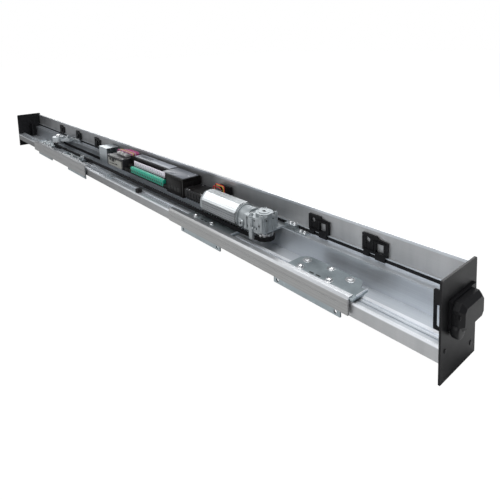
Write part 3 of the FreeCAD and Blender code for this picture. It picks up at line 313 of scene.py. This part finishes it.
def assign(material, *names):
    """Give CAD nodes one material in place of their own."""
    for name in names:
        mesh = NODES[name].data
        mesh.materials.clear()
        mesh.materials.append(material)


SIDES = ("right", "left")
ENDS = ("inner", "outer")

# Levels of the CAD model, in millimetres
PLATE_TOP = 64.5
ROLLER_LINE = -9.7
MOTOR_LINE = -7
MOTOR_LEVEL = 99.5
GEARBOX_FRONT = -34
GEARBOX_BACK = 20
GEARBOX_TOP = 121

header_metal = header_paint("anodised_header", (0.74, 0.77, 0.80), (0.46, 0.49, 0.53),
                            (0.47, 0.45, 0.43))
bar_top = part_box("right_hanger_bar")[1][2]
bar_metal = bar_paint("anodised_bar", (0.44, 0.44, 0.435), (0.26, 0.262, 0.262), bar_top)
seal_rubber = rubber("seal_rubber", (0.008, 0.008, 0.009))
belt_rubber = rubber("belt_rubber", (0.003, 0.003, 0.004), 0.55)
black_caps = plastic("black_caps", (0.006, 0.006, 0.007), 0.42, gloss=0.2)
black_clips = plastic("black_clips", (0.004, 0.004, 0.005), 0.4, gloss=0.2)
black_filter = plastic("black_filter", (0.006, 0.006, 0.007), 0.45, gloss=0.25)
dark_housing = plastic("dark_housing", (0.004, 0.0035, 0.0035), 0.42, gloss=0.15)
green_terminals = plastic("green_terminals", (0.014, 0.32, 0.215), 0.34)
white_plastic = plastic("white_plastic", (0.52, 0.51, 0.51), 0.45, drift=0.1)
grey_lid = painted("grey_lid", (0.24, 0.255, 0.285), 0.36)
block_grey = painted("block_grey", (0.11, 0.118, 0.135), 0.40)
black_case = painted("black_case", (0.014, 0.014, 0.016))
beige_panel = painted("beige_panel", (0.30, 0.30, 0.27))
motor_metal = motor_paint("motor_metal", (0.66, 0.69, 0.70), (0.17, 0.18, 0.19))
gear_metal = cast_metal("gear_metal", (0.48, 0.51, 0.525), (0.19, 0.21, 0.22), 0.46)
zinc_plate = sheet_metal("zinc_plate", (0.58, 0.62, 0.64), (0.38, 0.41, 0.43))
# The raised ears of the carriage plates get a painted highlight.
carriage_metal = sheet_metal("carriage_plate", (0.42, 0.47, 0.49), (0.24, 0.28, 0.30),
                             ear=PLATE_TOP / 1000 + 0.0003)
bright_steel = machined("bright_steel", (0.84, 0.85, 0.86))
pulley_metal = machined("pulley_metal", (0.70, 0.71, 0.72), 0.3)
roller_nylon = plastic("roller_nylon", (0.03, 0.03, 0.033), 0.4)
# Near-black painted shade for holes, sockets, slots and vents; also used for the motor's seams and the
# marks on the supply panel.
shadow_plastic = plastic("shadow_plastic", (0.004, 0.004, 0.004), 0.6)

assign(header_metal, "header_profile")
assign(bar_metal, *[f"{s}_hanger_bar" for s in SIDES])
assign(seal_rubber, "seal_strip", "closing_buffer")
assign(belt_rubber, "drive_belt")
assign(black_caps, "right_end_cap", "left_end_cap", "cap_brackets", "connector_base", "side_connector")
assign(black_clips, "cover_clips", "wire_plate")
assign(black_filter, "line_filter")
assign(dark_housing, "controller_housing")
assign(green_terminals, "terminal_strip")
assign(white_plastic, "label_strip", "supply_connectors")
assign(grey_lid, "controller_lid")
assign(black_case, "power_supply_box")
assign(beige_panel, "power_supply_panel")
assign(motor_metal, "motor_body")
assign(gear_metal, "motor_rear_cap", "motor_flange", "gearbox_housing", "gearbox_cover")
assign(zinc_plate, "drive_bracket", "idler_bracket", "tension_block", "supply_bracket", "closing_stop")
assign(carriage_metal, *[f"{s}_{e}_carriage" for s in SIDES for e in ENDS])
assign(zinc_plate, *[f"{s}_belt_clamp" for s in SIDES])
assign(bright_steel, "bracket_screws", "tension_screw", "idler_axle", "output_shaft",
       *[f"{s}_roller_axles" for s in SIDES], *[f"{s}_carriage_bolts" for s in SIDES])
assign(pulley_metal, "drive_pulley", "idler_pulley")
assign(roller_nylon, *[f"{s}_{e}_roller_{k}" for s in SIDES for e in ENDS for k in (1, 2)])

MAGENTA = (0.33, 0.03, 0.15)
PALE = (0.45, 0.33, 0.37)
YELLOW = (0.50, 0.35, 0.05)
RED = (0.45, 0.02, 0.015)
WIRE_PITCH = 0.0025

front_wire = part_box("supply_wires")[0][1]
wire_edges = [front_wire + 0.00235 + WIRE_PITCH * i for i in range(7)]
wire_colours = [MAGENTA, PALE, YELLOW, MAGENTA, PALE, MAGENTA, MAGENTA, MAGENTA]
assign(banded("supply_wire_colours", wire_colours, "Y", wire_edges), "supply_wires")
front_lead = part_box("motor_leads")[0][1]
lead_edges = [front_lead + WIRE_PITCH]
assign(banded("motor_lead_colours", [RED, YELLOW], "Y", lead_edges), "motor_leads")


class Piece:
    """A piece in the making, in millimetres, from shapes that bmesh operators make and bevel."""

    TURNS = {
        "x": Matrix.Rotation(math.pi / 2, 4, "Y"),
        "y": Matrix.Rotation(-math.pi / 2, 4, "X"),
        "z": Matrix.Identity(4),
    }

    def __init__(self, name):
        self.name = name
        self.form = bmesh.new()

    def settle(self, verts, bevel, steps, slot):
        faces = {face for vert in verts for face in vert.link_faces}
        for face in faces:
            face.material_index = slot
        edges = {edge for face in faces for edge in face.edges}
        sharp = [edge for edge in edges if edge.calc_face_angle(0.0) > 0.6]
        if bevel:
            bmesh.ops.bevel(self.form, geom=sharp, offset=bevel, offset_type="OFFSET",
                            segments=steps, profile=0.5, affect="EDGES", clamp_overlap=True,
                            material=-1)

    def block(self, x, y, z, bevel=0.4, steps=2, slot=0):
        made = bmesh.ops.create_cube(self.form, size=1.0)["verts"]
        middle = Vector((x[0] + x[1], y[0] + y[1], z[0] + z[1])) / 2
        size = Matrix.Diagonal((x[1] - x[0], y[1] - y[0], z[1] - z[0], 1.0))
        bmesh.ops.transform(self.form, matrix=Matrix.Translation(middle) @ size, verts=made)
        self.settle(made, bevel, steps, slot)

    def barrel(self, foot, radius, height, axis="z", sides=24, top=None, bevel=0.3, steps=2,
               slot=0):
        far_radius = radius if top is None else top
        made = bmesh.ops.create_cone(self.form, cap_ends=True, cap_tris=False, segments=sides,
                                     radius1=radius, radius2=far_radius, depth=height)["verts"]
        stand = Matrix.Translation((0, 0, height / 2))
        turn = Matrix.Translation(foot) @ self.TURNS[axis] @ stand
        bmesh.ops.transform(self.form, matrix=turn, verts=made)
        self.settle(made, bevel, steps, slot)

    def bolt(self, x, y, z, radius, height, slot=0):
        """Washer, hexagon head and a low dome."""
        self.barrel((x, y, z), radius * 1.28, 0.9, bevel=0.25, slot=slot)
        self.barrel((x, y, z + 0.9), radius, height - 1.6, sides=6, bevel=0.35, slot=slot)
        self.barrel((x, y, z + height - 0.7), radius * 0.72, 0.7, top=radius * 0.5, bevel=0.2,
                    slot=slot)

    def cap_screw(self, foot, radius, height, axis="z", slot=0, hole=1):
        """Socket-head screw; the socket is a short dark barrel on its face."""
        self.barrel(foot, radius, height, axis, bevel=radius * 0.18, slot=slot)
        step = {"x": (height, 0, 0), "y": (0, height, 0), "z": (0, 0, height)}[axis]
        face = Vector(foot) + Vector(step)
        self.barrel(face, radius * 0.55, 0.08, axis, sides=6, bevel=0, slot=hole)

    def finish(self, body, slot, materials, *replaced):
        bmesh.ops.recalc_face_normals(self.form, faces=self.form.faces)
        bmesh.ops.scale(self.form, vec=(0.001, 0.001, 0.001), verts=self.form.verts)
        mesh = bpy.data.meshes.new(self.name)
        self.form.to_mesh(mesh)
        self.form.free()
        mesh.shade_smooth()
        mesh.set_sharp_from_angle(angle=math.radians(38))
        for material in materials:
            mesh.materials.append(material)
        made = bpy.data.objects.new(self.name, mesh)
        bpy.context.scene.collection.objects.link(made)
        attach(made, body)
        if replaced:
            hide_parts(*replaced)


def reach(node):
    """Lowest and highest corner of a CAD node, in millimetres."""
    low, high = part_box(node)
    return [value * 1000 for value in low], [value * 1000 for value in high]


def middle_of(node, axis):
    low, high = reach(node)
    return (low[axis] + high[axis]) / 2


def leaf_details(side):
    """Bolts on the carriage plates, washers round the roller axles, dark slots."""
    sign = 1 if side == "right" else -1
    bolts = Piece(f"{side}_leaf_bolts")
    rings = Piece(f"{side}_axle_washers")
    for end in ENDS:
        rollers = [middle_of(f"{side}_{end}_roller_{k}", 0) for k in (1, 2)]
        centre = sum(rollers) / 2
        bolts.bolt(centre - 40 * sign, -38, PLATE_TOP, 5.8, 5.2)
        bolts.bolt(centre + 26 * sign, -38, PLATE_TOP, 5.8, 5.2)
        bolts.bolt(centre + 3 * sign, -4, PLATE_TOP, 6.2, 3.3)
        for x in rollers:
            rings.barrel((x, ROLLER_LINE, PLATE_TOP), 9.0, 0.5, bevel=0.2)
            rings.barrel((x, ROLLER_LINE, PLATE_TOP + 0.5), 6.6, 2.2, sides=6, bevel=0.3)
        for shift in (-18, -3):
            near = centre + shift * sign
            far = near + 10 * sign
            rings.block(sorted((near, far)), (-40.1, -36.4), (PLATE_TOP - 0.6, PLATE_TOP + 0.05),
                        bevel=0, slot=1)
    leaf = f"{side}_leaf"
    bolt_node = f"{side}_carriage_bolts"
    bolts.finish(leaf, bolt_node, [bright_steel], bolt_node)
    rings.finish(leaf, f"{side}_roller_axles", [bright_steel, shadow_plastic])


def gearbox_details():
    """Screws, plugs and dark holes of the gearbox, and the bolts of its bracket."""
    end = reach("gearbox_housing")[1][0]
    front = GEARBOX_FRONT
    back = GEARBOX_BACK
    piece = Piece("gearbox_screws")
    for x in (end - 6, end - 36):
        for y in (front + 7, back - 7):
            piece.cap_screw((x, y, GEARBOX_TOP), 3.3, 2.6)
    for x in (end - 22, end - 14):
        piece.cap_screw((x, front - 3.2, 97), 2.6, 2.2, "y")
    for y, z in ((-26, 112), (12, 112), (-26, 92), (12, 92)):
        piece.cap_screw((616.2, y * 0.9 - 0.7, z), 3.0, 3.2, "x")
    piece.barrel((676, MOTOR_LINE, 126.3), 3.4, 0.8, sides=6, slot=1)
    piece.block((660, 668), (-38.6, -37), (98, 106), bevel=0.5)
    piece.barrel((634, -36.5, 97), 6.0, 5.0, "y", bevel=0.8)
    piece.barrel((634, -36.7, 97), 2.6, 0.3, "y", sides=16, bevel=0, slot=1)
    for x, z in ((674, 112), (688, 104), (651, 113), (651, 96)):
        piece.barrel((x, front + 0.7, z), 1.9, 0.35, "y", sides=16, bevel=0, slot=1)
    for y in (-26, -16, 2, 12):
        piece.barrel((end - 2.4, y, 112), 1.7, 0.5, "x", sides=16, bevel=0, slot=1)
    piece.finish("operator", "gearbox_housing", [gear_metal, shadow_plastic])
    bolts = Piece("bracket_bolts")
    top = reach("drive_bracket")[1][2]
    for x, z in ((708, top), (718.5, top), (736, top - 10), (746.5, top - 10)):
        bolts.bolt(x, 37.2, z, 3.7, 4.2)
    bolts.finish("operator", "bracket_screws", [bright_steel], "bracket_screws")


def motor_details():
    """Seams round the motor's front, the bearing seat and the screws at its rear."""
    piece = Piece("motor_rings")
    for x, radius, width in ((609.3, 26.9, 0.9), (613.0, 26.8, 0.8)):
        piece.barrel((x, MOTOR_LINE, MOTOR_LEVEL), radius, width, "x", sides=48, slot=1)
    piece.barrel((477.2, MOTOR_LINE, MOTOR_LEVEL), 10.0, 3.0, "x", sides=32)
    for y, z in ((-19, 111.5), (5, 111.5), (-19, 87.5), (5, 87.5)):
        piece.barrel((478.2, y, z), 2.6, 2.0, "x")
    piece.barrel((498, 14, 117), 4.0, 5.5, "z", sides=20, slot=1)
    piece.finish("operator", "motor_rear_cap", [gear_metal, shadow_plastic])


def terminals():
    """A row of plug-in terminals, each with its screw and its wire funnel."""
    low, high = reach("terminal_strip")
    piece = Piece("terminal_row")
    pitch = 10.3
    count = int((high[0] - low[0]) // pitch)
    for i in range(1, count):
        x = low[0] + i * pitch + 4
        piece.block((x + 0.2, x + pitch - 0.2), (-13.8, -1.8), (86.5, 105.0), bevel=2.6, steps=4)
        piece.barrel((x + pitch / 2, -7.4, 104.7), 2.3, 0.9, slot=1)
        piece.block((x + 3.0, x + pitch - 3.0), (-14.0, -13.2), (91.0, 97.0), bevel=0.3, slot=2)
    materials = [green_terminals, bright_steel, shadow_plastic]
    piece.finish("operator", "terminal_strip", materials, "terminal_strip")


def controller_details():
    """Plates, screws and vents on the controller's top, sockets on its front and end."""
    end = reach("controller_housing")[1][0]
    top = Piece("controller_top")
    top.block((end - 108, end - 4), (-9, 40), (127.0, 128.3), bevel=0.5)
    top.block((end - 104, end - 60), (-5, 6), (128.3, 129.0), bevel=0.4)
    for x in (end - 100, end - 12):
        for y in (14, 34):
            top.cap_screw((x, y, 128.3), 2.4, 1.2, slot=1, hole=2)
    for i in range(9):
        top.block((62 + 9 * i, 66 + 9 * i), (20, 36), (128.5, 128.9), bevel=0.15, slot=2)
    top.finish("operator", "controller_lid", [block_grey, bright_steel, shadow_plastic])
    face = Piece("controller_face")
    face.block((end - 78, end - 8), (-13.2, -12), (84, 122), bevel=0.5)
    for i in range(4):
        x = end - 72 + 15 * i
        face.block((x, x + 11), (-13.7, -13.0), (90, 101), bevel=0.4, slot=1)
    face.block((end, end + 1.2), (-8, 20), (92, 118), bevel=0.5)
    for i in range(3):
        face.block((end + 1.0, end + 1.8), (-5 + 8 * i, 1 + 8 * i), (98, 106), bevel=0.3, slot=1)
    face.block((32, 56), (-13, -12), (85.5, 92.5), bevel=0.3)
    face.block((60, end - 86), (-12.8, -12), (84.2, 87.2), bevel=0.3)
    face.finish("operator", "controller_housing", [dark_housing, shadow_plastic])


def label():
    """A white strip with rows of plain cells, no writing."""
    piece = Piece("terminal_key")
    piece.block((70, 254), (2.0, 4.4), (103.5, 119.0), bevel=0.4)
    for row, z in enumerate((106.0, 111.0, 115.4)):
        for i in range(17 - row):
            x = 74 + 10.5 * i + 2.5 * row
            piece.block((x, x + 6.4), (1.88, 2.1), (z, z + 2.4), bevel=0, slot=1)
    grey = plastic("cell_grey", (0.42, 0.38, 0.42), 0.5)
    pale = plastic("pale_strip", (0.72, 0.68, 0.75), 0.5, drift=0.08)
    piece.finish("operator", "label_strip", [pale, grey], "label_strip")


def supply_details():
    """Plain dark marks on the supply's panel, its white sockets, edge strips and screws."""
    low, high = reach("power_supply_panel")
    piece = Piece("supply_panel_marks")
    front = low[1]
    marks = (
        (8, 14, 16, 7), (26, 20, 14, 11), (50, 8, 18, 6),
        (8, 10, 6, 3), (22, 26, 6, 3), (52, 16, 7, 4),
    )
    for x, width, z, tall in marks:
        piece.block((low[0] + x, low[0] + x + width), (front - 0.25, front + 0.1),
                    (low[2] + z, low[2] + z + tall), bevel=0.1)
    piece.finish("operator", "power_supply_panel", [shadow_plastic])
    sockets = Piece("supply_sockets")
    for i in range(3):
        x = -72 + 24 * i
        sockets.block((x, x + 18), (11, 33), (116, 124.2), bevel=0.7)
        sockets.block((x + 2, x + 16), (9.6, 12), (117, 122.5), bevel=0.4)
        for k in range(3):
            sockets.barrel((x + 4 + 4.6 * k, 22, 124.0), 1.7, 1.0, slot=1)
    materials = [white_plastic, shadow_plastic]
    sockets.finish("operator", "supply_connectors", materials, "supply_connectors")
    strips = Piece("supply_frame")
    for span in ((84.3, 88), (112, 115.8)):
        strips.block((-92, 22), (-15.2, -13.8), span, bevel=0.4)
    for x in (-86, 16):
        strips.cap_screw((x, -10, 116), 2.2, 1.4, slot=1, hole=1)
    strips.finish("operator", "power_supply_box", [black_case, bright_steel])


def filter_details():
    """Cover plate, screws and sockets of the line filter."""
    low, high = reach("line_filter")
    piece = Piece("filter_cover")
    piece.block((low[0] + 4, high[0] - 6), (-6, 34), (high[2], high[2] + 1.0), bevel=0.4)
    for x, y in ((low[0] + 10, -7.5), (low[0] + 20, -7.5), (high[0] - 12, -7.5), (low[0] + 14, 38)):
        piece.barrel((x, y, high[2]), 2.2, 1.3, slot=1)
    for i in range(5):
        x = low[0] + 8 + 13 * i
        piece.block((x, x + 9), (-10.9, -9.8), (90, 100), bevel=0.4, slot=2)
    piece.finish("operator", "line_filter", [dark_housing, bright_steel, black_filter])


def idler_details():
    """Bolts of the idler bracket and of the tension block."""
    piece = Piece("idler_bolts")
    low, high = reach("idler_bracket")
    for x, y, z in ((low[0] + 34, 22, 94.8), (low[0] + 66, 34, 94.8), (low[0] + 16, 34, 94.8)):
        piece.bolt(x, y, z, 5.4, 5.0)
    low, high = reach("tension_block")
    for x in (low[0] + 10, high[0] - 10):
        piece.bolt(x, middle_of("tension_block", 1), high[2], 4.6, 4.4)
    piece.finish("operator", "tension_screw", [bright_steel])


def cap_details():
    """Screws through the end caps, ribs and a nose on the side connector."""
    screws = Piece("cap_screws")
    feet = (reach("right_end_cap")[1][0], reach("left_end_cap")[0][0] - 0.9)
    for foot in feet:
        for y, z in ((-40, 45), (38, 20), (38, 62)):
            screws.barrel((foot, y, z), 3.6, 0.9, "x", bevel=0.3)
    screws.finish("operator", "right_end_cap", [black_caps])
    low, high = reach("side_connector")
    nose = Piece("connector_nose")
    nose.barrel((low[0] - 2, -22, 72), 12, 12, "x", sides=32, bevel=3.0, steps=4)
    for i in range(4):
        x = low[0] + 2 + 2.6 * i
        nose.block((x, x + 1.4), (-30.6, 40.6), (high[2] - 20, high[2] - 14), bevel=0.4)
    nose.finish("operator", "side_connector", [black_caps])


def clip_details():
    """Rivets and a rib on each cover clip."""
    piece = Piece("clip_rivets")
    for x in (777, 905, -724, -523, -325):
        for z in (104.0, 111.0):
            piece.barrel((x - 18, 43.6, z), 1.6, 0.9, "y", bevel=0.25)
        piece.block((x - 3.5, x - 1.5), (43.2, 44.6), (101, 121), bevel=0.3)
    piece.finish("operator", "cover_clips", [black_clips])


for side in SIDES:
    leaf_details(side)
gearbox_details()
motor_details()
terminals()
controller_details()
label()
supply_details()
filter_details()
idler_details()
cap_details()
clip_details()


def studio():
    """White floor, soft light from above and behind, camera where the photograph was taken."""
    camera = bpy.data.cameras.new("camera")
    camera.sensor_width = 36.0
    camera.lens = 32.740
    camera.shift_x = 0.0
    camera.shift_y = -0.30
    camera.clip_start = 0.01
    eye = bpy.data.objects.new("camera", camera)
    right = Vector((0.647779, 0.761114, -0.032979))
    up = Vector((-0.076276, 0.107868, 0.991235))
    back = Vector((0.758000, -0.639586, 0.127930))
    turn = Matrix((right, up, back)).transposed().to_4x4()
    eye.matrix_world = Matrix.Translation((1.3457662, -0.6003303, 0.4716340)) @ turn
    bpy.context.scene.collection.objects.link(eye)
    bpy.context.scene.camera = eye
    bpy.context.scene.view_settings.view_transform = "Standard"

    mesh = bpy.data.meshes.new("floor")
    shape = bmesh.new()
    bmesh.ops.create_grid(shape, x_segments=1, y_segments=1, size=12.0)
    shape.to_mesh(mesh)
    shape.free()
    floor = bpy.data.objects.new("floor", mesh)
    bpy.context.scene.collection.objects.link(floor)
    paint = Paint("floor_white")
    cloud = paint.noise(2.0)
    shade = paint.mix((0.56, 0.56, 0.56), (0.60, 0.60, 0.60), cloud)
    mesh.materials.append(paint.finish(shade, cloud * 0.05 + 0.8, gloss=0.0))
    path = paint.add("ShaderNodeLightPath")
    glow = paint.add("ShaderNodeEmission")
    glow.inputs["Color"].default_value = (1.0, 1.0, 1.0, 1.0)
    glow.inputs["Strength"].default_value = 1.05
    blend = paint.add("ShaderNodeMixShader")
    output = paint.tree.nodes["Material Output"]
    share = Value(paint, path.outputs["Is Camera Ray"]) * 0.95
    paint.join(share, blend.inputs[0])
    paint.tree.links.new(paint.shader.outputs[0], blend.inputs[1])
    paint.tree.links.new(glow.outputs[0], blend.inputs[2])
    paint.tree.links.new(blend.outputs[0], output.inputs[0])

    world = bpy.data.worlds.new("world")
    bpy.context.scene.world = world
    world.use_nodes = True
    tree = world.node_tree
    tree.nodes.clear()
    path = tree.nodes.new("ShaderNodeLightPath")
    soft = tree.nodes.new("ShaderNodeBackground")
    soft.inputs["Color"].default_value = (0.93, 0.96, 1.0, 1.0)
    soft.inputs["Strength"].default_value = 0.36
    white = tree.nodes.new("ShaderNodeBackground")
    white.inputs["Color"].default_value = (1.0, 1.0, 1.0, 1.0)
    blend = tree.nodes.new("ShaderNodeMixShader")
    output = tree.nodes.new("ShaderNodeOutputWorld")
    tree.links.new(path.outputs["Is Camera Ray"], blend.inputs[0])
    tree.links.new(soft.outputs[0], blend.inputs[1])
    tree.links.new(white.outputs[0], blend.inputs[2])
    tree.links.new(blend.outputs[0], output.inputs[0])

    lamps = [
        ("key", (0.9, -2.2, 1.7), (0.7, 0.0, 0.05), 1.6, 22.0),
        ("top", (0.8, 0.2, 2.3), (0.5, 0.0, 0.05), 2.2, 64.0),
        ("back", (-0.9, 2.6, 1.5), (0.1, 0.0, 0.08), 2.4, 40.0),
        ("end", (-3.0, 1.4, 0.9), (0.0, 0.0, 0.08), 1.6, 18.0),
        ("strip", (-1.9, -1.0, 1.9), (0.5, 0.0, 0.1), 1.0, 9.0),
    ]
    for name, place, target, width, power in lamps:
        light = bpy.data.lights.new(name, "AREA")
        light.shape = "RECTANGLE"
        light.size = width
        light.size_y = width * 0.6
        light.energy = power
        lamp = bpy.data.objects.new(name, light)
        lamp.location = place
        aim = Vector(target) - Vector(place)
        lamp.rotation_euler = aim.to_track_quat("-Z", "Y").to_euler()
        bpy.context.scene.collection.objects.link(lamp)


studio()
